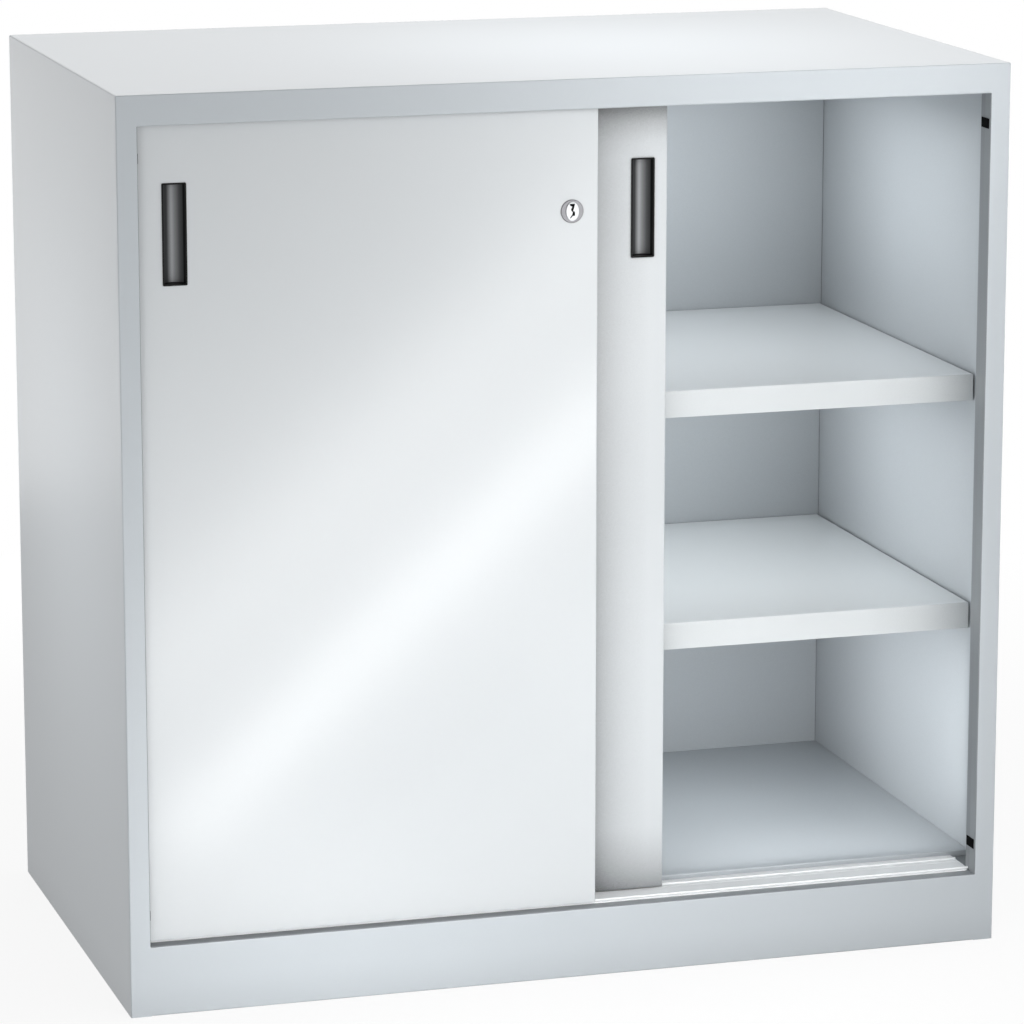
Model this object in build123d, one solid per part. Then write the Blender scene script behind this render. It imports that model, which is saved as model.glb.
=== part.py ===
from build123d import *
import os

# Low steel cupboard with two sliding doors that run one behind the other.
# Millimetres. +X is to the right, +Y to the rear, +Z up, origin on the ground under the middle.

# Cabinet
width = 1000
depth = 580
height = 1000

# Sheet steel and the play between parts that slide into each other
carcass_sheet = 1.2
carcass_bend = 1.7
door_sheet = 1.0
door_bend = 1.5
shelf_sheet = 1.0
shelf_bend = 1.5
bracket_sheet = 1.5
bracket_bend = 2.25
seam_play = 0.3
hole_play = 0.05
drill_length = 8

# Front frame: the jambs are folded from the side walls, the fascia from the top
jamb_face = 23
jamb_return = 28.5
jamb_lip = 12
fascia_face = 33
fascia_lip = 10
plinth_face = 78
plinth_shelf = 92
plinth_foot = 20

# Flanges of the carcass
rear_flange = 25
foot_flange = 20
top_side_flange = 12
top_rear_flange = 15

# Hat sections that stiffen the top, the floor, the shelves and the doors
hat_crown = 24
hat_slope = 6
hat_foot = 12
top_hat_depth = 18
floor_hat_depth = 24
shelf_hat_depth = 18
floor_hat_spacing = 420

# Floor and shelves
floor_top = 85
upper_shelf_drop = 361
shelf_pitch = 264
shelf_front = 82
shelf_fold = 30
shelf_lip = 10
shelf_play = 0.8
shelf_rear_play = 2
support_length = 25
support_ledge = 13
support_rise = 22
support_inset = 60

# Double bottom rail
rail_front = 16
rail_back = 73.7
rail_base = 1.6
rib_width = 3
rib_height = 1.6
rib_side = 0.75
rib_round_share = 0.45
track_groove_width = 1.2
track_groove_depth = 0.7
rail_corner = 6

# Doors
door_gap = 1.3
door_overlap = 59
door_thickness = 20
door_pitch = 37
front_door_face = 12
door_clearance = 1.4
door_rise = 5
door_skirt = 3
door_lip = 12
stiffener_rear_gap = 1
rear_door_show = 90.7

# Door rollers
roller_inset = 60
wheel_rolling_radius = 10
wheel_flange = 1.4
wheel_width = 8
wheel_groove_width = 5
wheel_groove_floor = 3.4
wheel_gap = 0.3
wheel_slot_play = 1.5
hub_radius = 5
hub_width = 10.4
axle_radius = 2.5
axle_play = 0.05
axle_head_radius = 3.6
axle_head = 0.9
bracket_inside = 11
bracket_length = 36
bracket_tab = 12
bracket_crown_play = 2

# Top guide
guide_inset = 50
guide_tongue_length = 36
guide_tongue_height = 16
guide_shoulder_length = 46
guide_shoulder_height = 12
guide_play = 0.3
guide_lead_in = 1
channel_inside = 14
channel_drop = 24
angle_flange = 12
guide_slot_play = 0.3
stop_length = 12
stop_height = 14

# Grips
grip_width = 26.5
grip_height = 109
grip_drop = 149.5
grip_bezel = 1.0
grip_border = 1.7
grip_seat = 0.8
grip_wall = 1.8
grip_corner = 1.4
grip_lug = 30
cup_round_share = 0.6
front_grip_inset = 39
rear_grip_inset = 28

# Lock
lock_inset = 29.5
lock_drop = 144
rosette_radius = 12.75
rosette_thickness = 1.5
barrel_radius = 9
barrel_length = 21.5
plug_radius = 6
plug_play = 0.05
plug_oval = (7.2, 10.3)
plug_cap = 1.0
plug_cap_gap = 0.2
keyway_depth = 6
keyway_wall = 0.6
keyway_cap_share = 0.7
tenon = 7
nut_across_flats = 24
nut_thickness = 4
cam_gap = 0.5
cam_thickness = 2.5
cam_hub_radius = 7.5
cam_tip_radius = 6
cam_reach = 21
screw_head_radius = 4
screw_head = 2.2
screw_radius = 2
screw_length = 8

# Lock catch on the rear door
catch_play = 2
catch_gap = 0.5
catch_height = 22
catch_foot = 16
catch_reach_gap = 0.5
catch_rivet_shares = (0.25, 0.75)

# Buffers on the jambs
buffer_width = 20
buffer_height = 11
buffer_thickness = 1.0
buffer_inset = 34
buffer_stem_radius = 2.4
buffer_barb_radius = 4
buffer_barb = 2

# Blind rivets
rivet_radius = 1.6
rivet_head_radius = 3.2
rivet_head = 1.1
rivet_crown_radius = 1.8
rivet_tail_radius = 2.6
rivet_tail = 1.0

# Places that follow from the sizes above
left, right = -width / 2, width / 2
front, back = -depth / 2, depth / 2
inner_left, inner_right = left + carcass_sheet, right - carcass_sheet
opening_left, opening_right = left + jamb_face, right - jamb_face
opening_top = height - fascia_face
top_underside = height - carcass_sheet
floor_underside = floor_top - carcass_sheet
floor_front = rail_back + seam_play
back_inside = back - 2 * carcass_sheet
upper_shelf_top = height - upper_shelf_drop
shelf_tops = (upper_shelf_top - shelf_pitch, upper_shelf_top)
fold_play = seam_play + carcass_bend - carcass_sheet

rail_top = plinth_face + rail_base
rib_top = rail_top + rib_height
door_bottom = rail_top + door_clearance
door_top = opening_top + door_rise
door_floor = door_bottom + door_skirt
door_width = (opening_right - opening_left - 2 * door_gap + door_overlap) / 2
door_middle = door_thickness / 2
grip_middle = height - grip_drop
lock_middle = height - lock_drop

front_door_left = opening_left + door_gap
rear_door_closed_left = opening_right - door_gap - door_width
rear_door_left = front_door_left + rear_door_show
rear_door_face = front_door_face + door_pitch

wheel_radius = wheel_rolling_radius + wheel_flange
axle_height = rib_top + wheel_gap + wheel_rolling_radius
bracket_width = bracket_inside + 2 * bracket_sheet
bracket_top = axle_height + wheel_radius + bracket_crown_play + bracket_sheet
rivet_inset = (bracket_length + bracket_tab) / 2

cam_face = barrel_length + cam_gap
catch_from_edge = door_overlap - lock_inset + cam_hub_radius + catch_gap
catch_top = lock_middle - cam_hub_radius - catch_play
catch_leg_end = barrel_length + catch_reach_gap - door_pitch
tracks = (front_door_face + door_middle, rear_door_face + door_middle)


def block(x, y, z):
    """Box between a low and a high limit on each axis."""
    limits = (x, y, z)
    size = [high - low for low, high in limits]
    middle = [(high + low) / 2 for low, high in limits]
    return Pos(*middle) * Box(*size)


def folded(points, plane, length, sheet, bend):
    """Sheet strip folded along points, with the sheet to the left of the line."""
    line = FilletPolyline(*points, radius=bend)
    section = make_face(offset(line, amount=sheet, side=Side.LEFT).edges())
    return extrude(plane * section, amount=length)


def hat(sheet, drop):
    """Points of a hat section, from its right foot to its left foot, crown down by drop."""
    crown, shoulder = hat_crown / 2, hat_crown / 2 + hat_slope
    foot = shoulder + hat_foot
    low = sheet - drop
    return [(foot, 0), (shoulder, 0), (crown, low), (-crown, low), (-shoulder, 0), (-foot, 0)]


def both_sides(shape):
    """The shape and its mirror image across the cabinet's middle."""
    return [shape, mirror(shape, about=Plane.YZ)]


def rivet(stack):
    """Blind rivet along Z through a stack of sheets that starts at 0, head above."""
    head = Pos(0, 0, stack + rivet_head / 2) * Cone(rivet_head_radius, rivet_crown_radius, rivet_head)
    shank = Pos(0, 0, stack / 2) * Cylinder(rivet_radius, stack)
    tail = Pos(0, 0, -rivet_tail / 2) * Cylinder(rivet_tail_radius, rivet_tail)
    return head + shank + tail


# Carcass


def buffer_heights():
    return (plinth_face + buffer_inset, opening_top - buffer_inset)


def side_wall():
    """Left side wall with its jamb, which ends in a flush butt against the fascia and the plinth."""
    outline = [
        (left + rear_flange, back),
        (left, back),
        (left, front),
        (opening_left, front),
        (opening_left, front + jamb_return),
        (opening_left - jamb_lip, front + jamb_return),
    ]
    wall = folded(outline, Plane.XY, top_underside, carcass_sheet, carcass_bend)
    inside = (front + jamb_return, back_inside)
    wall += block((inner_left, left + foot_flange), inside, (0, carcass_sheet))
    top_edge = (top_underside - carcass_sheet, top_underside)
    wall += block((inner_left, left + top_side_flange), inside, top_edge)
    above_opening = (opening_top, height)
    wall -= block((left, opening_left), (front, front + carcass_sheet), above_opening)
    wall -= block((inner_left, opening_left), (front, front + jamb_return), above_opening)
    beside_plinth = (0, plinth_face)
    wall -= block((inner_left, opening_left), (front + carcass_sheet, front + jamb_return), beside_plinth)
    wall += block((left + carcass_bend, opening_left), (front, front + carcass_sheet), beside_plinth)
    rear_corner = (back - carcass_sheet, back)
    wall -= block((left, left + rear_flange), rear_corner, (height - top_rear_flange, height))
    for z in buffer_heights():
        hole = Rot(0, 90, 0) * Cylinder(buffer_stem_radius + hole_play, drill_length)
        wall -= Pos(opening_left, front + jamb_return / 2, z) * hole
    return wall


def top_panel():
    """Top sheet with a rear flange and a fascia in front, whose lip folds back over the opening."""
    panel = block((left, right), (front, back), (opening_top, height))
    outer_edges = panel.faces().sort_by(Axis.Z)[-1].edges() + panel.edges().filter_by(Axis.Z)
    panel = fillet(outer_edges, carcass_bend)
    inside = (front + carcass_sheet, back - carcass_sheet)
    panel -= block((left, right), inside, (opening_top, top_underside))
    below_flange = (opening_top, height - top_rear_flange)
    panel -= block((left, right), (back - carcass_sheet, back), below_flange)
    lip_root = opening_top + 2 * carcass_bend
    panel -= block((opening_left, opening_right), (front, front + carcass_sheet), (opening_top, lip_root))
    outline = [(front, lip_root), (front, opening_top), (front + fascia_lip, opening_top)]
    plane = Plane.YZ.offset(opening_left)
    return panel + folded(outline, plane, opening_right - opening_left, carcass_sheet, carcass_bend)


def top_stiffener():
    """Hat section across the cabinet under the top sheet."""
    half = right - top_side_flange - seam_play
    plane = Plane(origin=(-half, 0, top_underside), x_dir=(0, 1, 0), z_dir=(1, 0, 0))
    return folded(hat(carcass_sheet, top_hat_depth), plane, 2 * half, carcass_sheet, carcass_bend)


def back_panel():
    """Plain sheet behind the compartments, against the rear flanges."""
    edge = inner_right - fold_play
    sheet = (back_inside, back - carcass_sheet)
    return block((-edge, edge), sheet, (floor_underside + seam_play, top_underside - fold_play))


def plinth_front():
    """Front plinth folded into a channel, whose upper leg carries the rail and the floor."""
    outline = [
        (front + plinth_shelf, plinth_face),
        (front, plinth_face),
        (front, 0),
        (front + plinth_foot, 0),
    ]
    edge = inner_right - seam_play
    plinth = folded(outline, Plane.YZ.offset(-edge), 2 * edge, carcass_sheet, carcass_bend)
    beside_jamb = block((opening_right, right), (front, front + carcass_bend), (0, plinth_face))
    for notch in both_sides(beside_jamb):
        plinth -= notch
    return plinth


def plinth_back():
    """Rear plinth, a channel whose upper leg carries the rear of the floor."""
    outer = back - carcass_sheet
    outline = [
        (outer - plinth_foot, 0),
        (outer, 0),
        (outer, floor_underside),
        (outer - plinth_foot, floor_underside),
    ]
    edge = right - foot_flange - seam_play
    return folded(outline, Plane.YZ.offset(-edge), 2 * edge, carcass_sheet, carcass_bend)


def floor_panel():
    """Floor tray with its front and side edges folded down onto the plinth."""
    edge = inner_right - seam_play
    rear = back_inside - seam_play
    tray = block((-edge, edge), (front + floor_front, rear), (plinth_face, floor_top))
    top_edges = tray.faces().sort_by(Axis.Z)[-1].edges()
    tray = fillet(top_edges.group_by(Axis.Y)[0], carcass_bend)
    inside = edge - carcass_sheet
    hollow = (front + floor_front + carcass_sheet, back)
    return tray - block((-inside, inside), hollow, (0, floor_underside))


def floor_stiffeners():
    """Two hat sections from front to rear under the floor."""
    near = front + plinth_shelf + seam_play
    far = back - carcass_sheet - plinth_foot - seam_play
    hats = []
    for x in (-floor_hat_spacing / 2, floor_hat_spacing / 2):
        plane = Plane(origin=(x, far, floor_underside), x_dir=(1, 0, 0), z_dir=(0, -1, 0))
        points = hat(carcass_sheet, floor_hat_depth)
        hats.append(folded(points, plane, far - near, carcass_sheet, carcass_bend))
    return Compound(hats)


def rib(track):
    """Round-topped bead that guides the wheels of one door."""
    middle = front + track
    side = (middle - rib_width / 2, middle + rib_width / 2)
    bead = block((opening_left, opening_right), side, (rail_top, rail_top + rib_height))
    crown = bead.faces().sort_by(Axis.Z)[-1].edges().filter_by(Axis.X)
    return fillet(crown, min(rib_width * rib_round_share, rib_height - rib_side))


def bottom_rail():
    """Double rail on the plinth: a flat base, one bead for each door and a groove between."""
    across = (front + rail_front, front + rail_back)
    rail = block((opening_left, opening_right), across, (plinth_face, rail_top))
    corners = rail.edges().filter_by(Axis.Z).group_by(Axis.Y)[0]
    rail = fillet(corners, rail_corner)
    for track in tracks:
        rail += rib(track)
    groove = front + rear_door_face
    cut = (groove - track_groove_width, groove)
    return rail - block((left, right), cut, (rail_top - track_groove_depth, rail_top))


def under_top(outline):
    """Folded strip spot welded under the top, from one side wall to the other."""
    edge = right - top_side_flange - seam_play
    return folded(outline, Plane.YZ.offset(-edge), 2 * edge, carcass_sheet, carcass_bend)


def top_guide_channel():
    """Channel between the doors' tracks, whose two legs each guide one door."""
    low = top_underside - channel_drop
    near = front + tracks[0] + channel_inside / 2
    far = front + tracks[1] - channel_inside / 2
    return under_top([(far, low), (far, top_underside), (near, top_underside), (near, low)])


def top_guide_angle_front():
    """Angle in front of the front door's track, with its flange turned forwards."""
    inside = front + tracks[0] - channel_inside / 2
    low = top_underside - channel_drop
    end = inside - angle_flange
    return under_top([(inside, low), (inside, top_underside), (end, top_underside)])


def top_guide_angle_rear():
    """Angle behind the rear door's track, with its flange turned to the rear."""
    inside = front + tracks[1] + channel_inside / 2
    low = top_underside - channel_drop
    end = inside + angle_flange
    return under_top([(end, top_underside), (inside, top_underside), (inside, low)])


def rear_door_stops():
    """Rubber plugs in the rear track that catch the guides at both ends of the travel."""
    tongue = guide_tongue_length / 2 + guide_play
    right_face = rear_door_closed_left + door_width - guide_inset + tongue
    left_face = front_door_left + guide_inset - tongue
    track = front + tracks[1]
    across = (track - channel_inside / 2, track + channel_inside / 2)
    up = (top_underside - stop_height, top_underside)
    spans = ((left_face - stop_length, left_face), (right_face, right_face + stop_length))
    return Compound([block(span, across, up) for span in spans])


def jamb_buffers():
    """Rubber pads pushed into the jambs, where the front door's edges land."""
    pads = []
    for z in buffer_heights():
        pad = Box(buffer_thickness, buffer_width, buffer_height)
        pad = chamfer(pad.faces().sort_by(Axis.X)[-1].edges(), buffer_thickness / 4)
        pad = Pos(opening_left + buffer_thickness / 2, 0, 0) * pad
        stem_length = carcass_sheet + buffer_barb
        stem = Rot(0, 90, 0) * Cylinder(buffer_stem_radius, stem_length)
        barb = Rot(0, 90, 0) * Cylinder(buffer_barb_radius, buffer_barb)
        pad += Pos(opening_left - stem_length / 2, 0, 0) * stem
        pad += Pos(opening_left - carcass_sheet - buffer_barb / 2, 0, 0) * barb
        pads += both_sides(Pos(0, front + jamb_return / 2, z) * pad)
    return Compound(pads)


# Shelves


def shelf(top):
    """Shelf tray with folded edges, and lips turned in under its front and rear."""
    edge = inner_right - bracket_sheet - shelf_play
    near, far = front + shelf_front, back_inside - shelf_rear_play
    under = top - shelf_fold
    tray = block((-edge, edge), (near, far), (under, top))
    tray = fillet(tray.faces().sort_by(Axis.Z)[-1].edges(), shelf_bend)
    inside = (-edge + shelf_sheet, edge - shelf_sheet)
    hollow = (near + shelf_sheet, far - shelf_sheet)
    tray -= block(inside, hollow, (under + shelf_sheet, top - shelf_sheet))
    return tray - block(inside, (near + shelf_lip, far - shelf_lip), (under, under + shelf_sheet))


def shelf_stiffener(top):
    """Hat section along the underside of a shelf."""
    half = inner_right - bracket_sheet - shelf_play - shelf_sheet - seam_play
    middle = (front + shelf_front + back_inside - shelf_rear_play) / 2
    plane = Plane(origin=(-half, middle, top - shelf_sheet), x_dir=(0, 1, 0), z_dir=(1, 0, 0))
    return folded(hat(shelf_sheet, shelf_hat_depth), plane, 2 * half, shelf_sheet, shelf_bend)


def shelf_supports():
    """Small angles on the side walls, with a ledge under each corner of the shelves."""
    near = front + shelf_front + support_inset
    far = back_inside - shelf_rear_play - support_inset
    angles = []
    for top in shelf_tops:
        low = top - shelf_fold - bracket_sheet
        outline = [
            (inner_right - support_ledge, low),
            (inner_right, low),
            (inner_right, low + support_rise),
        ]
        for y in (near, far):
            plane = Plane(origin=(0, y + support_length / 2, 0), x_dir=(1, 0, 0), z_dir=(0, -1, 0))
            angle = folded(outline, plane, support_length, bracket_sheet, bracket_bend)
            angles += both_sides(angle)
    return Compound(angles)


# Doors, in a frame of their own: x from the door's left edge, y from its face, z from the ground


def roller_places():
    return (roller_inset, door_width - roller_inset)


def guide_places():
    return (guide_inset, door_width - guide_inset)


def grip_hole(x):
    """Cut-out in a door's skin for a grip."""
    wide = grip_width / 2 - grip_seat
    high = grip_height / 2 - grip_seat
    through = (-door_sheet, 2 * door_sheet)
    return block((x - wide, x + wide), through, (grip_middle - high, grip_middle + high))


def door_pan(grip_x):
    """Door skin folded into a tray, open at the rear inside a lip, with slots for its fittings."""
    pan = block((0, door_width), (0, door_thickness), (door_bottom, door_top))
    pan = fillet(pan.edges().filter_by(Axis.Z).group_by(Axis.Y)[0], door_bend)
    across = (door_sheet, door_width - door_sheet)
    inner_rear = door_thickness - door_sheet
    pan -= block((0, door_width), (door_sheet, door_thickness), (door_bottom, door_floor))
    pan -= block(across, (door_sheet, inner_rear), (door_floor + door_sheet, door_top - door_sheet))
    window = (door_lip, door_width - door_lip)
    pan -= block(window, (inner_rear, door_thickness), (door_floor + door_lip, door_top - door_lip))
    pan -= grip_hole(grip_x)
    in_floor = (door_floor, door_floor + door_sheet)
    for x in roller_places():
        half = wheel_radius + wheel_slot_play
        wide = wheel_width / 2 + wheel_slot_play / 2
        pan -= block((x - half, x + half), (door_middle - wide, door_middle + wide), in_floor)
        for side in (-rivet_inset, rivet_inset):
            hole = Cylinder(rivet_radius + hole_play, drill_length)
            pan -= Pos(x + side, door_middle, door_floor) * hole
    in_top = (door_top - door_sheet, door_top)
    for x in guide_places():
        half = guide_tongue_length / 2 + guide_slot_play
        wide = channel_inside / 2 - guide_play + guide_slot_play / 2
        pan -= block((x - half, x + half), (door_middle - wide, door_middle + wide), in_top)
    return pan


def front_door_pan():
    """Front door, which has the hole for the lock too."""
    hole = Rot(90, 0, 0) * Cylinder(barrel_radius + hole_play, drill_length)
    return door_pan(front_grip_inset) - Pos(door_width - lock_inset, 0, lock_middle) * hole


def rear_door_pan():
    """Rear door, with the rivet holes of the lock catch."""
    pan = door_pan(door_width - rear_grip_inset)
    for hole in catch_rivet_holes():
        pan -= hole
    return pan


def door_stiffener():
    """Upright hat section behind the middle of a door's skin."""
    low = door_floor + door_sheet
    plane = Plane(origin=(door_width / 2, door_sheet, low), x_dir=(-1, 0, 0), z_dir=(0, 0, 1))
    drop = door_thickness - 2 * door_sheet - stiffener_rear_gap
    length = door_top - door_sheet - low
    return folded(hat(door_sheet, drop), plane, length, door_sheet, door_bend)


def grip(x):
    """Moulded finger cup with a rim on the skin and two lugs behind it."""
    rim = Box(grip_width, grip_bezel, grip_height)
    rim = fillet(rim.edges().filter_by(Axis.Y), grip_corner)
    cup = Pos(0, -grip_bezel / 2, 0) * rim
    radius = grip_width / 2 - grip_border
    cup_depth = radius - grip_bezel + grip_wall
    wide = grip_width / 2 - grip_seat - seam_play / 2
    high = grip_height / 2 - grip_seat - seam_play / 2
    body = block((-wide, wide), (0, cup_depth), (-high, high))
    cup += fillet(body.edges().filter_by(Axis.Z).group_by(Axis.Y)[-1], wide * cup_round_share)
    lug_reach = grip_width / 2
    lug = block((-lug_reach, lug_reach), (door_sheet, 2 * door_sheet), (-grip_lug / 2, grip_lug / 2))
    trough = Pos(0, -grip_bezel, 0) * Cylinder(radius, grip_height - 2 * grip_border)
    return Pos(x, 0, grip_middle) * (cup + lug - trough)


def roller_bracket(x):
    """Folded bridge over a wheel, with a riveted tab at each end and holes for the axle."""
    seat = door_floor + door_sheet
    near, far = door_middle - bracket_width / 2, door_middle + bracket_width / 2
    outline = [(far, seat), (far, bracket_top), (near, bracket_top), (near, seat)]
    half = bracket_length / 2
    bridge = folded(outline, Plane.YZ.offset(-half), bracket_length, bracket_sheet, bracket_bend)
    for side in (-1, 1):
        ends = sorted((side * half, side * (half + bracket_tab)))
        bridge += block(ends, (near, far), (seat, seat + bracket_sheet))
        hole = Cylinder(rivet_radius + hole_play, drill_length)
        bridge -= Pos(side * rivet_inset, door_middle, seat) * hole
    bore = Rot(90, 0, 0) * Cylinder(axle_radius + hole_play, door_thickness)
    return Pos(x, 0, 0) * (bridge - Pos(0, door_middle, axle_height) * bore)


def axle(x):
    """Riveted pin across a roller bracket."""
    heads = Cylinder(axle_head_radius, bracket_width + 2 * axle_head)
    heads -= Cylinder(axle_head_radius, bracket_width)
    pin = heads + Cylinder(axle_radius, bracket_width)
    return Pos(x, door_middle, axle_height) * (Rot(90, 0, 0) * pin)


def wheel(x):
    """Moulded wheel with a groove that runs over a bead of the rail."""
    bore = axle_radius + axle_play
    upper = [
        (bore, hub_width / 2),
        (hub_radius, hub_width / 2),
        (hub_radius, wheel_width / 2),
        (wheel_radius - wheel_flange / 2, wheel_width / 2),
        (wheel_radius, wheel_groove_width / 2),
        (wheel_rolling_radius, wheel_groove_floor / 2),
    ]
    lower = [(radius, -side) for radius, side in reversed(upper)]
    section = make_face(Polyline(*upper, *lower, close=True))
    body = revolve(Plane.XZ * section, axis=Axis.Z)
    return Pos(x, door_middle, axle_height) * (Rot(90, 0, 0) * body)


def bracket_rivets():
    """Rivets that hold both roller brackets of a door."""
    rivets = []
    for x in roller_places():
        for side in (-rivet_inset, rivet_inset):
            place = Pos(x + side, door_middle, door_floor)
            rivets.append(place * rivet(door_sheet + bracket_sheet))
    return rivets


def guide(x):
    """Nylon guide that stands through the door's top into the channel."""
    wide = channel_inside / 2 - guide_play
    half = guide_tongue_length / 2
    tongue = block((-half, half), (-wide, wide), (-door_sheet, guide_tongue_height))
    tongue = fillet(tongue.edges().filter_by(Axis.Z), wide / 2)
    tongue = chamfer(tongue.edges().group_by(Axis.Z)[-1], guide_lead_in)
    shoulder_wide = door_middle - door_sheet - guide_play
    half = guide_shoulder_length / 2
    low = -door_sheet - guide_shoulder_height
    shoulder = block((-half, half), (-shoulder_wide, shoulder_wide), (low, -door_sheet))
    return Pos(x, door_middle, door_top) * (tongue + shoulder)


# Lock, in the front door's frame


def along_lock(y, length, radius):
    """Cylinder on the lock's axis that starts at y and runs to the rear."""
    place = Pos(door_width - lock_inset, y + length / 2, lock_middle)
    return place * (Rot(90, 0, 0) * Cylinder(radius, length))


def lock_plane(y):
    """Plane across the lock's axis at y, with its normal to the rear."""
    origin = (door_width - lock_inset, y, lock_middle)
    return Plane(origin=origin, x_dir=(-1, 0, 0), z_dir=(0, 1, 0))


def lock_housing():
    """Round rosette and the barrel behind it, bored for the plug."""
    rosette = along_lock(-rosette_thickness, rosette_thickness, rosette_radius)
    rosette = chamfer(rosette.edges().group_by(Axis.Y)[0], rosette_thickness / 2)
    barrel = along_lock(0, barrel_length, barrel_radius)
    bore = along_lock(-rosette_thickness, rosette_thickness + barrel_length, plug_radius + plug_play)
    return rosette + barrel - bore


def lock_nut():
    """Flat hexagon nut that clamps the housing to the door's skin."""
    section = RegularPolygon(nut_across_flats / 2, 6, major_radius=False)
    section -= Circle(barrel_radius + hole_play)
    return extrude(lock_plane(door_sheet) * section, amount=nut_thickness)


def keyway():
    """Outline of the zigzag keyway, seen from the front."""
    outline = [
        (-3.3, 8.4),
        (2.6, 8.4),
        (2.3, 6.2),
        (0.5, 0.3),
        (2.6, -0.4),
        (2.6, -4.8),
        (0.1, -4.8),
        (-2.0, -7.4),
        (-2.9, -6.8),
        (-0.3, -3.2),
        (0.1, -0.4),
        (-1.2, 0.2),
        (-1.9, 2.0),
        (-0.5, 5.4),
        (-2.4, 6.0),
        (-3.3, 7.2),
    ]
    return make_face(Polyline(*[(-x, y) for x, y in outline], close=True))


def lock_plug():
    """Turning plug with an oval cap, a keyway and a square tenon for the cam."""
    cap_front = -rosette_thickness - plug_cap_gap - plug_cap
    cap = extrude(lock_plane(cap_front) * Ellipse(*plug_oval), amount=plug_cap)
    cap = chamfer(cap.edges().group_by(Axis.Y)[0], plug_cap / 4)
    shaft = along_lock(cap_front + plug_cap, cam_face - cap_front - plug_cap, plug_radius)
    end = extrude(lock_plane(cam_face) * Rectangle(tenon, tenon), amount=cam_thickness)
    slot = extrude(lock_plane(cap_front) * keyway(), amount=keyway_depth)
    slot &= along_lock(cap_front, keyway_depth, plug_radius - keyway_wall)
    slot += extrude(lock_plane(cap_front) * keyway(), amount=plug_cap * keyway_cap_share)
    thread = along_lock(screw_start(), screw_length, screw_radius)
    return cap + shaft + end - slot - thread


def lock_cam():
    """Tapered lever on the plug's tenon; at rest it points to the left."""
    hub = Circle(cam_hub_radius)
    tip = Pos(cam_reach, 0) * Circle(cam_tip_radius)
    lever = make_hull(hub.edges() + tip.edges()) - Rectangle(tenon, tenon)
    return extrude(lock_plane(cam_face) * lever, amount=cam_thickness)


def screw_start():
    """Depth of the screw's point behind the door's face."""
    return cam_face + cam_thickness - screw_length


def cam_screw():
    """Screw and its head that hold the cam on the tenon."""
    head = along_lock(cam_face + cam_thickness, screw_head, screw_head_radius)
    head = chamfer(head.edges().group_by(Axis.Y)[-1], screw_head / 3)
    return head + along_lock(screw_start(), screw_length, screw_radius)


# Lock catch, in the rear door's frame


def catch_rivet_places():
    """Places of the catch's rivets on the inner face of the door's skin."""
    x = catch_from_edge + (catch_foot + bracket_sheet) / 2
    return [(x, door_sheet, catch_top - catch_height * share) for share in catch_rivet_shares]


def catch_rivets():
    stack = door_sheet + bracket_sheet
    return [Pos(*place) * (Rot(90, 0, 0) * rivet(stack)) for place in catch_rivet_places()]


def catch_rivet_holes():
    drill = Rot(90, 0, 0) * Cylinder(rivet_radius + hole_play, drill_length)
    return [Pos(*place) * drill for place in catch_rivet_places()]


def lock_catch():
    """Angle on the rear door's face, whose leg stops against the lowered cam."""
    outline = [
        (catch_from_edge + catch_foot, 0),
        (catch_from_edge, 0),
        (catch_from_edge, catch_leg_end),
    ]
    plane = Plane.XY.offset(catch_top - catch_height)
    angle = folded(outline, plane, catch_height, bracket_sheet, bracket_bend)
    for hole in catch_rivet_holes():
        angle -= hole
    return angle


# Assembly: each entry is one node


def carcass_pieces():
    wall_left, wall_right = both_sides(side_wall())
    return {
        "side_wall_left": wall_left,
        "side_wall_right": wall_right,
        "top_panel": top_panel(),
        "top_stiffener": top_stiffener(),
        "back_panel": back_panel(),
        "plinth_front": plinth_front(),
        "plinth_back": plinth_back(),
        "floor_panel": floor_panel(),
        "floor_stiffeners": floor_stiffeners(),
        "bottom_rail": bottom_rail(),
        "top_guide_channel": top_guide_channel(),
        "top_guide_angle_front": top_guide_angle_front(),
        "top_guide_angle_rear": top_guide_angle_rear(),
        "rear_door_stops": rear_door_stops(),
        "jamb_buffers": jamb_buffers(),
        "shelf_supports": shelf_supports(),
    }


def shelf_pieces():
    pieces = {}
    for name, top in zip(("lower", "upper"), shelf_tops):
        pieces[f"shelf_{name}"] = shelf(top)
        pieces[f"shelf_{name}_stiffener"] = shelf_stiffener(top)
    return pieces


def door_pieces(name, pan, grip_x, rivets):
    """Pieces that both doors have, in the door's frame."""
    near, far = roller_places()
    return {
        f"{name}_pan": pan,
        f"{name}_stiffener": door_stiffener(),
        f"{name}_grip": grip(grip_x),
        f"{name}_roller_brackets": Compound([roller_bracket(near), roller_bracket(far)]),
        f"{name}_axles": Compound([axle(near), axle(far)]),
        f"{name}_wheel_left": wheel(near),
        f"{name}_wheel_right": wheel(far),
        f"{name}_rivets": Compound(bracket_rivets() + rivets),
        f"{name}_guide_left": guide(guide_places()[0]),
        f"{name}_guide_right": guide(guide_places()[1]),
    }


def front_door_pieces():
    pieces = door_pieces("front_door", front_door_pan(), front_grip_inset, [])
    pieces |= {
        "lock_housing": lock_housing(),
        "lock_nut": lock_nut(),
        "lock_plug": lock_plug(),
        "lock_cam": lock_cam(),
        "lock_cam_screw": cam_screw(),
    }
    place = Pos(front_door_left, front + front_door_face, 0)
    return {name: place * piece for name, piece in pieces.items()}


def rear_door_pieces():
    grip_x = door_width - rear_grip_inset
    pieces = door_pieces("rear_door", rear_door_pan(), grip_x, catch_rivets())
    pieces |= {"lock_catch": lock_catch()}
    place = Pos(rear_door_left, front + rear_door_face, 0)
    return {name: place * piece for name, piece in pieces.items()}


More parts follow.
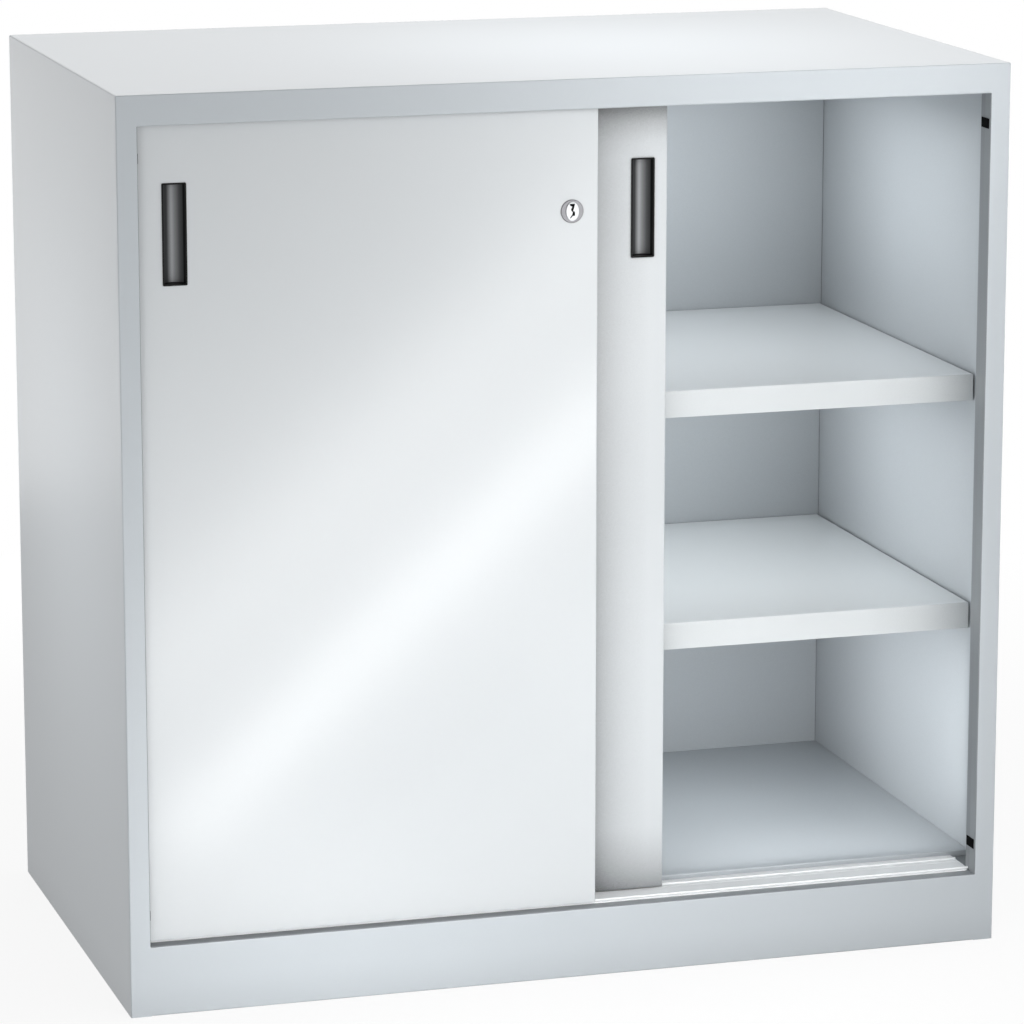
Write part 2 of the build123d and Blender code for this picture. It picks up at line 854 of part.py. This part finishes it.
pieces = carcass_pieces() | shelf_pieces() | front_door_pieces() | rear_door_pieces()
os.makedirs("parts", exist_ok=True)
for name, piece in pieces.items():
    export_step(piece, f"parts/{name}.step")
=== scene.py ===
import math

import bpy
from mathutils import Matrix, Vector


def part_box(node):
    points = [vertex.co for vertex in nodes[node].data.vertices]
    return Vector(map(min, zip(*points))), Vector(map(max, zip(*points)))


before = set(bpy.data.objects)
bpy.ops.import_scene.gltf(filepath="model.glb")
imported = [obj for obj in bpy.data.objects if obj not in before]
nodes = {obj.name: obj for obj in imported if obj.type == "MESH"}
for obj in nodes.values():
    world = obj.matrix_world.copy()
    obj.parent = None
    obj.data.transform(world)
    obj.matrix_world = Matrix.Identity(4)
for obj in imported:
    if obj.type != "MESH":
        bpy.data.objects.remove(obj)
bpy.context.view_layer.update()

# ---------------------------------------------------------------------------
# Carcass: folded steel sheets, spot welded, with the seams ground flush, then
# sprayed with light grey powder and baked. The coat is satin with a faint
# orange peel. Part of the shade round the opening is put into its colour.


def link(tree, start, end):
    tree.links.new(start, end)


def place_of(tree):
    """Where a point lies in the cabinet."""
    return tree.nodes.new("ShaderNodeTexCoord").outputs["Object"]


def facing_of(tree):
    """The way that the surface faces in the cabinet."""
    return tree.nodes.new("ShaderNodeTexCoord").outputs["Normal"]


def axes_of(tree, vector):
    split = tree.nodes.new("ShaderNodeSeparateXYZ")
    link(tree, vector, split.inputs[0])
    return split.outputs


def math_of(tree, operation, *values):
    made = tree.nodes.new("ShaderNodeMath")
    made.operation = operation
    for value, end in zip(values, made.inputs):
        if isinstance(value, (int, float)):
            end.default_value = value
        else:
            link(tree, value, end)
    return made.outputs[0]


def noise_of(tree, place, per_metre, detail=2.0):
    noise = tree.nodes.new("ShaderNodeTexNoise")
    noise.inputs["Scale"].default_value = per_metre
    noise.inputs["Detail"].default_value = detail
    link(tree, place, noise.inputs["Vector"])
    return noise.outputs["Fac"]


def scaled(tree, colour, share):
    """The colour times a share that varies over the surface."""
    made = tree.nodes.new("ShaderNodeVectorMath")
    made.operation = "SCALE"
    link(tree, colour, made.inputs[0])
    link(tree, share, made.inputs["Scale"])
    return made.outputs[0]


clouds_per_metre = 2.3
peel_per_metre = 420.0
specks_per_metre = 1400.0
speck_share = 0.3


def make_powder_coat():
    """Group: baked powder with cloudy shade and gloss, painted shade in crevices, and orange
    peel.
    """
    tree = bpy.data.node_groups.new("powder coat", "ShaderNodeTree")
    for name, way, kind, value in (
        ("Colour", "INPUT", "NodeSocketColor", (0.64, 0.68, 0.7, 1.0)),
        ("Shade spread", "INPUT", "NodeSocketFloat", 0.03),
        ("Roughness", "INPUT", "NodeSocketFloat", 0.35),
        ("Roughness spread", "INPUT", "NodeSocketFloat", 0.05),
        ("Crevice shade", "INPUT", "NodeSocketFloat", 0.2),
        ("Crevice reach", "INPUT", "NodeSocketFloat", 0.045),
        ("Colour", "OUTPUT", "NodeSocketColor", None),
        ("Roughness", "OUTPUT", "NodeSocketFloat", None),
        ("Peel", "OUTPUT", "NodeSocketFloat", None),
    ):
        made = tree.interface.new_socket(name, in_out=way, socket_type=kind)
        if value is not None:
            made.default_value = value
    given = tree.nodes.new("NodeGroupInput").outputs
    result = tree.nodes.new("NodeGroupOutput").inputs
    place = place_of(tree)
    cloud = math_of(tree, "SUBTRACT", noise_of(tree, place, clouds_per_metre, 3.0), 0.5)
    # Painted shade: the colour darkens where ambient occlusion finds parts close by, in crevices
    # and between parts.
    open_sky = tree.nodes.new("ShaderNodeAmbientOcclusion")
    open_sky.samples = 6
    link(tree, given["Crevice reach"], open_sky.inputs["Distance"])
    closed = math_of(tree, "SUBTRACT", 1.0, open_sky.outputs["AO"])
    crevice_painted_shade = math_of(tree, "MULTIPLY", closed, given["Crevice shade"])
    shade = math_of(tree, "MULTIPLY_ADD", cloud, given["Shade spread"], 1.0)
    shade = math_of(tree, "SUBTRACT", shade, crevice_painted_shade)
    link(tree, scaled(tree, given["Colour"], shade), result["Colour"])
    rough = math_of(tree, "MULTIPLY_ADD", cloud, given["Roughness spread"], given["Roughness"])
    link(tree, rough, result["Roughness"])
    peel = noise_of(tree, place, peel_per_metre, 1.0)
    speck = noise_of(tree, place, specks_per_metre, 0.0)
    link(tree, math_of(tree, "MULTIPLY_ADD", speck, speck_share, peel), result["Peel"])
    return tree


powder_coat_group = make_powder_coat()


def surface(name):
    """New material: its tree and its Principled shader."""
    made = bpy.data.materials.new(name)
    made.use_nodes = True
    return made, made.node_tree, made.node_tree.nodes["Principled BSDF"]


def bump_into(tree, shader, height, distance):
    bump = tree.nodes.new("ShaderNodeBump")
    bump.inputs["Distance"].default_value = distance
    link(tree, height, bump.inputs["Height"])
    link(tree, bump.outputs["Normal"], shader.inputs["Normal"])


def powder_coat(name, colour, roughness, coat, coat_roughness=0.3, crevice=(0.2, 0.045)):
    """Paint from the group above; crevice gives the painted shade's loss of colour in crevices
    and its reach in metres.
    """
    made, tree, shader = surface(name)
    group = tree.nodes.new("ShaderNodeGroup")
    group.node_tree = powder_coat_group
    group.inputs["Colour"].default_value = (*colour, 1.0)
    group.inputs["Roughness"].default_value = roughness
    group.inputs["Crevice shade"].default_value = crevice[0]
    group.inputs["Crevice reach"].default_value = crevice[1]
    link(tree, group.outputs["Colour"], shader.inputs["Base Color"])
    link(tree, group.outputs["Roughness"], shader.inputs["Roughness"])
    bump_into(tree, shader, group.outputs["Peel"], 0.00003)
    shader.inputs["Specular IOR Level"].default_value = 0.5
    shader.inputs["Coat Weight"].default_value = coat
    shader.inputs["Coat Roughness"].default_value = coat_roughness
    return made


def deepen(tree, mask, shade, reach):
    """Stronger and wider crevice shading where the mask is 1."""
    coat_group = [node for node in tree.nodes if node.type == "GROUP"][0]
    for name, more in (("Crevice shade", shade), ("Crevice reach", reach)):
        plain = coat_group.inputs[name].default_value
        link(tree, math_of(tree, "MULTIPLY_ADD", mask, more, plain), coat_group.inputs[name])


def inside_carcass(tree):
    """1 behind the doors and between the side walls' outer faces, and 0 elsewhere."""
    place = axes_of(tree, place_of(tree))
    outward = math_of(tree, "ABSOLUTE", place["X"])
    between = math_of(tree, "LESS_THAN", outward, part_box("side_wall_right")[1][0] - 0.0005)
    behind = math_of(tree, "GREATER_THAN", place["Y"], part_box("bottom_rail")[0][1])
    return math_of(tree, "MULTIPLY", between, behind)


def lies_on(tree, along, where, facing, slack=0.0008):
    """1 where a coordinate is at a plane and the surface faces along it, and 0 elsewhere."""
    near = math_of(tree, "COMPARE", along, where, slack)
    return math_of(tree, "MULTIPLY", near, math_of(tree, "GREATER_THAN", facing, 0.5))


def opening_reveal(tree):
    """1 on the jambs' inner faces and on the ledge under the rail, and 0 elsewhere."""
    place = axes_of(tree, place_of(tree))
    facing = axes_of(tree, facing_of(tree))
    (_, _, ledge), (jamb, _, _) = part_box("bottom_rail")
    outward = math_of(tree, "ABSOLUTE", place["X"])
    sideways = math_of(tree, "ABSOLUTE", facing["X"])
    on_jamb = lies_on(tree, outward, jamb, sideways)
    on_ledge = lies_on(tree, place["Z"], ledge, facing["Z"])
    return math_of(tree, "MAXIMUM", on_jamb, on_ledge)


def darken_reveals(tree, shader, loss=0.57):
    """Put the shade of the faces that fold in round the opening into their colour."""
    base = shader.inputs["Base Color"]
    kept = math_of(tree, "MULTIPLY_ADD", opening_reveal(tree), -loss, 1.0)
    link(tree, scaled(tree, base.links[0].from_socket, kept), base)


def paint(material, *names):
    for name in names:
        nodes[name].material_slots[0].material = material


light_grey = (0.555, 0.597, 0.63)
carcass_paint = powder_coat("carcass paint", light_grey, roughness=0.42, coat=0.3)
carcass_tree = carcass_paint.node_tree
# Painted shade: deeper and wider crevice shade inside the carcass, darkening its inner corners
# and the back of the compartments.
deepen(carcass_tree, inside_carcass(carcass_tree), shade=0.35, reach=0.2)
darken_reveals(carcass_tree, carcass_tree.nodes["Principled BSDF"])
paint(
    carcass_paint,
    "side_wall_left",
    "side_wall_right",
    "top_panel",
    "back_panel",
    "plinth_front",
    "plinth_back",
    "floor_panel",
)

# ---------------------------------------------------------------------------
# Stiffeners, shelf supports and top guides: thinner folded sections, welded in
# before the carcass is sprayed. The same paint is rougher here, out of sight.

bracket_paint = powder_coat("bracket paint", light_grey, roughness=0.5, coat=0.1)
paint(
    bracket_paint,
    "top_stiffener",
    "floor_stiffeners",
    "top_guide_channel",
    "top_guide_angle_front",
    "top_guide_angle_rear",
    "shelf_supports",
)

# ---------------------------------------------------------------------------
# Shelves: steel trays with folded edges and a hat section welded under them,
# in the same powder painted paler, to stand in for more light on them. They
# lie loose on their supports.

shelf_grey_painted_paler = (0.74, 0.775, 0.79)
shelf_paint = powder_coat("shelf paint", shelf_grey_painted_paler, roughness=0.36, coat=0.5)
shelf_tree = shelf_paint.node_tree
shelf_facing = axes_of(shelf_tree, facing_of(shelf_tree))
# Painted shade: deeper and wider crevice shade on the shelves' front faces.
front_edge = math_of(shelf_tree, "LESS_THAN", shelf_facing["Y"], -0.5)
deepen(shelf_tree, front_edge, shade=0.35, reach=0.08)
paint(shelf_paint, "shelf_lower", "shelf_lower_stiffener", "shelf_upper", "shelf_upper_stiffener")

# ---------------------------------------------------------------------------
# Double bottom rail: one extruded aluminium profile, satin anodised, that lies
# on the plinth's upper leg. Fine lines from the die run along it.


def blend_of(tree, value, dark, light):
    """From the dark colour to the light one as the value goes from 0 to 1."""
    ramp = tree.nodes.new("ShaderNodeValToRGB")
    ramp.color_ramp.elements[0].color = (*dark, 1.0)
    ramp.color_ramp.elements[1].color = (*light, 1.0)
    link(tree, value, ramp.inputs["Fac"])
    return ramp.outputs["Color"]


def rail_finish():
    made, tree, shader = surface("anodised rail")
    drawn = tree.nodes.new("ShaderNodeMapping")
    drawn.inputs["Scale"].default_value = (4.0, 1800.0, 1800.0)
    link(tree, place_of(tree), drawn.inputs["Vector"])
    lines = noise_of(tree, drawn.outputs["Vector"], 1.0)
    colour = blend_of(tree, lines, (0.84, 0.86, 0.87), (0.93, 0.94, 0.95))
    link(tree, colour, shader.inputs["Base Color"])
    bump_into(tree, shader, lines, 0.00002)
    shader.inputs["Metallic"].default_value = 0.1
    shader.inputs["Roughness"].default_value = 0.5
    shader.inputs["Specular IOR Level"].default_value = 0.3
    return made


paint(rail_finish(), "bottom_rail")

# ---------------------------------------------------------------------------
# Buffers and stops: moulded black rubber. The buffers' stems are pushed into
# holes in the jambs, and the stops sit at both ends of the rear door's track.


def rubber():
    made, tree, shader = surface("black rubber")
    grain = noise_of(tree, place_of(tree), 900.0, 3.0)
    colour = blend_of(tree, grain, (0.001, 0.001, 0.001), (0.003, 0.003, 0.003))
    link(tree, colour, shader.inputs["Base Color"])
    bump_into(tree, shader, grain, 0.0001)
    shader.inputs["Roughness"].default_value = 0.6
    shader.inputs["Specular IOR Level"].default_value = 0.02
    return made


paint(rubber(), "jamb_buffers", "rear_door_stops")

# ---------------------------------------------------------------------------
# Doors: steel pans with an upright hat section inside, in a smoother coat of
# the carcass's grey, painted slightly paler to stand in for more light on them.
# The front one is the glossiest, and the rear one's painted crevice shade is
# strong, standing in for the shadow of the front one close in front of it.

door_grey_painted_paler = (0.655, 0.685, 0.705)
front_door_paint = powder_coat(
    "front door paint", door_grey_painted_paler, roughness=0.34, coat=1.0, coat_roughness=0.2
)
rear_door_paint = powder_coat(
    "rear door paint", door_grey_painted_paler, roughness=0.36, coat=0.4, crevice=(1.4, 0.075)
)
paint(front_door_paint, "front_door_pan", "front_door_stiffener")
paint(rear_door_paint, "rear_door_pan", "rear_door_stiffener")

# ---------------------------------------------------------------------------
# Grips: finger cups moulded in dark grey plastic, with a fine matt grain,
# clipped into the skins from the front. A pale stripe in the colour stands in
# for the sheen along the trough.

trough_width = 0.0265
end_rim = 0.0024
stripe_across = (
    (0.0, 0.003),
    (0.085, 0.003),
    (0.1, 0.03),
    (0.27, 0.06),
    (0.47, 0.42),
    (0.6, 0.25),
    (0.76, 0.1),
    (0.88, 0.06),
    (0.9, 0.003),
    (1.0, 0.003),
)


def grip_plastic(name, middle, half_height):
    """Dark plastic with the stripe's greys across the trough, and a black rim at both ends."""
    made, tree, shader = surface(name)
    place = place_of(tree)
    axes = axes_of(tree, place)
    across = math_of(tree, "SUBTRACT", axes["X"], middle.x)
    across = math_of(tree, "MULTIPLY_ADD", across, 1.0 / trough_width, 0.5)
    stripe = tree.nodes.new("ShaderNodeValToRGB")
    while len(stripe.color_ramp.elements) < len(stripe_across):
        stripe.color_ramp.elements.new(0.5)
    for element, (where, grey) in zip(stripe.color_ramp.elements, stripe_across):
        element.position = where
        element.color = (grey * 0.97, grey, grey * 1.03, 1.0)
    link(tree, across, stripe.inputs["Fac"])
    grain = noise_of(tree, place, 1600.0)
    along = math_of(tree, "ABSOLUTE", math_of(tree, "SUBTRACT", axes["Z"], middle.z))
    within_rim = math_of(tree, "LESS_THAN", along, half_height - end_rim)
    lift = math_of(tree, "MULTIPLY", math_of(tree, "MULTIPLY_ADD", grain, 0.3, 0.85), within_rim)
    link(tree, scaled(tree, stripe.outputs["Color"], lift), shader.inputs["Base Color"])
    bump_into(tree, shader, grain, 0.00004)
    shader.inputs["Roughness"].default_value = 0.42
    shader.inputs["Specular IOR Level"].default_value = 0.15
    return made


for door in ("front_door", "rear_door"):
    low, high = (Vector(corner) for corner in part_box(f"{door}_grip"))
    plastic = grip_plastic(f"{door} grip plastic", (low + high) / 2, (high.z - low.z) / 2)
    paint(plastic, f"{door}_grip")

# ---------------------------------------------------------------------------
# Wheels and top guides: moulded in natural nylon. The wheels turn on riveted
# pins over the rail's beads, and the guides stand through slots in the doors'
# tops, up into the tracks.


def natural_nylon():
    made, tree, shader = surface("nylon")
    grain = noise_of(tree, place_of(tree), 700.0)
    colour = blend_of(tree, grain, (0.72, 0.72, 0.68), (0.8, 0.8, 0.77))
    link(tree, colour, shader.inputs["Base Color"])
    bump_into(tree, shader, grain, 0.00005)
    shader.inputs["Roughness"].default_value = 0.45
    return made


nylon = natural_nylon()
for door in ("front_door", "rear_door"):
    for side in ("left", "right"):
        paint(nylon, f"{door}_wheel_{side}", f"{door}_guide_{side}")

# ---------------------------------------------------------------------------
# Roller brackets, axles, rivets, lock nut, cam and catch: zinc plated steel,
# with the faint spangle and the uneven shine of a barrel-plated batch.


def zinc():
    made, tree, shader = surface("zinc plate")
    place = place_of(tree)
    cells = tree.nodes.new("ShaderNodeTexVoronoi")
    cells.inputs["Scale"].default_value = 420.0
    link(tree, place, cells.inputs["Vector"])
    colour = blend_of(tree, cells.outputs["Color"], (0.55, 0.56, 0.58), (0.72, 0.73, 0.74))
    link(tree, colour, shader.inputs["Base Color"])
    cloud = noise_of(tree, place, 160.0, 3.0)
    link(tree, math_of(tree, "MULTIPLY_ADD", cloud, 0.3, 0.22), shader.inputs["Roughness"])
    bump_into(tree, shader, cloud, 0.00003)
    shader.inputs["Metallic"].default_value = 1.0
    return made


zinc_plate = zinc()
for door in ("front_door", "rear_door"):
    paint(zinc_plate, f"{door}_roller_brackets", f"{door}_axles", f"{door}_rivets")
paint(zinc_plate, "lock_nut", "lock_cam", "lock_cam_screw", "lock_catch")

# ---------------------------------------------------------------------------
# Lock: a turned brass housing and plug, satin nickel plated, with a polished
# oval cap that the key goes into. The housing is held by a nut from behind.


def nickel(name, colour, roughness):
    made, tree, shader = surface(name)
    cloud = noise_of(tree, place_of(tree), 500.0)
    dull = tuple(0.9 * part for part in colour)
    link(tree, blend_of(tree, cloud, dull, colour), shader.inputs["Base Color"])
    bump_into(tree, shader, cloud, 0.00001)
    shader.inputs["Metallic"].default_value = 1.0
    shader.inputs["Roughness"].default_value = roughness
    return made


def paint_keyway_shade(material):
    """Painted shade: black from just behind the cap's front face, so that the keyway reads as a
    deep slot in shade.
    """
    tree = material.node_tree
    base = tree.nodes["Principled BSDF"].inputs["Base Color"]
    cap_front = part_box("lock_plug")[0][1]
    depth = math_of(tree, "SUBTRACT", axes_of(tree, place_of(tree))["Y"], cap_front + 0.0003)
    behind = math_of(tree, "MULTIPLY", depth, 5000.0)
    behind.node.use_clamp = True
    painted_keyway_shade = tree.nodes.new("ShaderNodeMix")
    painted_keyway_shade.data_type = "RGBA"
    link(tree, behind, painted_keyway_shade.inputs["Factor"])
    link(tree, base.links[0].from_socket, painted_keyway_shade.inputs[6])
    painted_keyway_shade.inputs[7].default_value = (0.004, 0.004, 0.004, 1.0)
    link(tree, painted_keyway_shade.outputs[2], base)


paint(nickel("satin nickel", (0.22, 0.22, 0.23), 0.4), "lock_housing")
cap_finish = nickel("polished nickel", (0.45, 0.46, 0.47), 0.3)
# Painted shade inside the keyway.
paint_keyway_shade(cap_finish)
paint(cap_finish, "lock_plug")

# ---------------------------------------------------------------------------
# Studio: a white floor and surroundings. The floor's white is mixed with a
# little real paper near the cabinet, so that it takes the cabinet's shadow.

white = (1.0, 1.0, 1.0, 1.0)
shadow_share = 0.13
shadow_ends = (0.7, 2.0)
floor_reach = 30.0
sky_level = 0.25


def seen_directly(tree):
    """1 for rays from the eye, also by way of a mirror or a glass."""
    path = tree.nodes.new("ShaderNodeLightPath")
    seen = math_of(tree, "MAXIMUM", path.outputs["Is Camera Ray"], path.outputs["Is Glossy Ray"])
    return math_of(tree, "MAXIMUM", seen, path.outputs["Is Transmission Ray"])


def mix_of(tree, share, first, second):
    made = tree.nodes.new("ShaderNodeMixShader")
    for start, end in zip((share, first, second), made.inputs):
        link(tree, start, end)
    return made.outputs[0]


def matt(tree, grey):
    made = tree.nodes.new("ShaderNodeBsdfDiffuse")
    made.inputs["Color"].default_value = (grey, grey, grey, 1.0)
    return made.outputs[0]


def white_floor():
    made = bpy.data.materials.new("studio floor")
    made.use_nodes = True
    tree = made.node_tree
    tree.nodes.clear()
    glow = tree.nodes.new("ShaderNodeEmission")
    glow.inputs["Color"].default_value = white
    away = tree.nodes.new("ShaderNodeVectorMath")
    away.operation = "LENGTH"
    link(tree, place_of(tree), away.inputs[0])
    lit_share = tree.nodes.new("ShaderNodeMapRange")
    lit_share.inputs["From Min"].default_value = shadow_ends[0]
    lit_share.inputs["From Max"].default_value = shadow_ends[1]
    lit_share.inputs["To Min"].default_value = shadow_share
    lit_share.inputs["To Max"].default_value = 0.0
    link(tree, away.outputs["Value"], lit_share.inputs["Value"])
    shown = mix_of(tree, lit_share.outputs["Result"], glow.outputs[0], matt(tree, 0.95))
    either = mix_of(tree, seen_directly(tree), matt(tree, 0.35), shown)
    out = tree.nodes.new("ShaderNodeOutputMaterial")
    link(tree, either, out.inputs["Surface"])
    return made


floor_mesh = bpy.data.meshes.new("studio_floor")
floor_signs = ((-1, -1), (1, -1), (1, 1), (-1, 1))
corners = [(x * floor_reach, y * floor_reach, 0.0) for x, y in floor_signs]
floor_mesh.from_pydata(corners, [], [(0, 1, 2, 3)])
studio_floor = bpy.data.objects.new("studio_floor", floor_mesh)
bpy.context.scene.collection.objects.link(studio_floor)
studio_floor.data.materials.append(white_floor())

world = bpy.data.worlds.new("studio")
bpy.context.scene.world = world
world.use_nodes = True
sky_tree = world.node_tree
sky = sky_tree.nodes["Background"]
sky.inputs["Color"].default_value = white
strength = math_of(sky_tree, "MULTIPLY_ADD", seen_directly(sky_tree), 1.0 - sky_level, sky_level)
link(sky_tree, strength, sky.inputs["Strength"])

# ---------------------------------------------------------------------------
# Lamps: windows far off, soft boxes round the cabinet and in its compartments,
# and two long slanting strips that leave a band of sheen on the front door.


def add_light(name, kind, place, target, energy):
    data = bpy.data.lights.new(name, kind)
    data.energy = energy
    made = bpy.data.objects.new(name, data)
    bpy.context.scene.collection.objects.link(made)
    made.location = place
    toward = Vector(target) - made.location
    made.rotation_euler = toward.to_track_quat("-Z", "Y").to_euler()
    made.visible_camera = False
    return made


def soft_box(name, place, target, width, length, energy):
    made = add_light(name, "AREA", place, target, energy)
    made.data.shape = "RECTANGLE"
    made.data.size = width
    made.data.size_y = length
    return made


def far_light(name, turn, rise, spread, energy):
    """Distant soft light, given by its direction round the cabinet and above the floor."""
    turn, rise = math.radians(turn), math.radians(rise)
    level = math.cos(rise)
    way = Vector((math.sin(turn) * level, -math.cos(turn) * level, math.sin(rise)))
    made = add_light(name, "SUN", way, (0.0, 0.0, 0.0), energy)
    made.data.angle = math.radians(spread)


for name, turn, rise, spread, energy in (
    ("low left window", -45.0, 10.0, 45.0, 0.135),
    ("low front window", 10.0, 8.0, 45.0, 0.61),
    ("right window", 95.0, 20.0, 60.0, 0.65),
    ("rear window", 165.0, 25.0, 60.0, 0.6),
):
    far_light(name, turn, rise, spread, energy)

for name, place, target, width, length, energy in (
    ("overhead", (0.15, 0.0, 1.35), (0.15, 0.0, 1.0), 0.4, 0.3, 0.75),
    ("behind", (0.0, 2.2, 0.45), (0.0, 0.29, 0.5), 1.6, 0.8, 14.0),
    ("beside", (2.2, 0.3, 0.45), (0.5, 0.0, 0.5), 0.8, 0.8, 9.5),
    ("left wall", (-0.95, 0.0, 0.55), (-0.5, 0.0, 0.5), 0.25, 0.3, 0.73),
    ("left bounce", (-1.2, -1.4, 0.6), (-0.3, -0.2, 0.5), 0.5, 0.9, 3.32),
    ("low bounce", (0.0, -1.6, 0.25), (0.0, -0.29, 0.25), 1.0, 0.4, 0.7),
    ("fascia right", (0.35, -0.6, 1.1), (0.3, -0.29, 0.97), 0.5, 0.06, 0.5),
    ("fascia middle", (0.12, -0.7, 1.06), (0.12, -0.29, 0.98), 0.35, 0.06, 0.3),
    ("plinth", (-0.3, -0.6, 0.05), (-0.3, -0.29, 0.03), 0.35, 0.04, 0.28),
    ("rail", (0.25, -0.62, 0.3), (0.25, -0.26, 0.05), 0.4, 0.05, 0.32),
    ("over the floor", (0.1, 0.02, 0.325), (0.1, 0.02, 0.0), 0.7, 0.45, 0.13),
    ("over the lower shelf", (0.1, 0.02, 0.59), (0.1, 0.02, 0.0), 0.7, 0.45, 0.78),
    ("over the upper shelf", (0.1, 0.02, 0.93), (0.1, 0.02, 0.0), 0.7, 0.45, 1.0),
    ("floor", (0.31, -0.215, 0.22), (0.31, 0.2, 0.22), 0.33, 0.2, 0.35),
):
    made = soft_box(name, place, target, width, length, energy)
    made.visible_glossy = name not in ("plinth", "rail")

for name, x, z, depth, height, spread, energy in (
    ("lower compartment", -0.05, 0.22, 0.36, 0.2, 75.0, 0.29),
    ("middle compartment", -0.3, 0.49, 0.4, 0.22, 50.0, 0.26),
    ("upper compartment", -0.05, 0.8, 0.36, 0.2, 75.0, 0.21),
):
    made = soft_box(name, (x, 0.0, z), (0.4, 0.0, z), depth, height, energy)
    made.data.spread = math.radians(spread)

slant = math.radians(47.6)
for name, place, width, length, energy in (
    ("sheen", (0.19, -0.88, 0.475), 0.06, 1.38, 1.9),
    ("wide sheen", (-0.2, -1.0, 0.3), 0.12, 1.5, 1.65),
):
    x, _, z = place
    made = soft_box(name, place, (x, 0.0, z), width, length, energy)
    made.rotation_euler = (math.radians(90.0), slant, 0.0)

# ---------------------------------------------------------------------------
# Camera: a long lens at standing eye height, five metres off and to the left,
# turned towards the cabinet and tilted down to it.

turn_right = math.radians(16.77)
look_down = math.radians(12.25)
camera_data = bpy.data.cameras.new("camera")
camera_data.sensor_width = 36.0
camera_data.lens = 167.1
camera = bpy.data.objects.new("camera", camera_data)
bpy.context.scene.collection.objects.link(camera)
camera.location = (-1.520, -5.099, 1.623)
camera.rotation_euler = (math.radians(90.0) - look_down, 0.0, -turn_right)
bpy.context.scene.camera = camera

bpy.context.scene.view_settings.view_transform = "Standard"
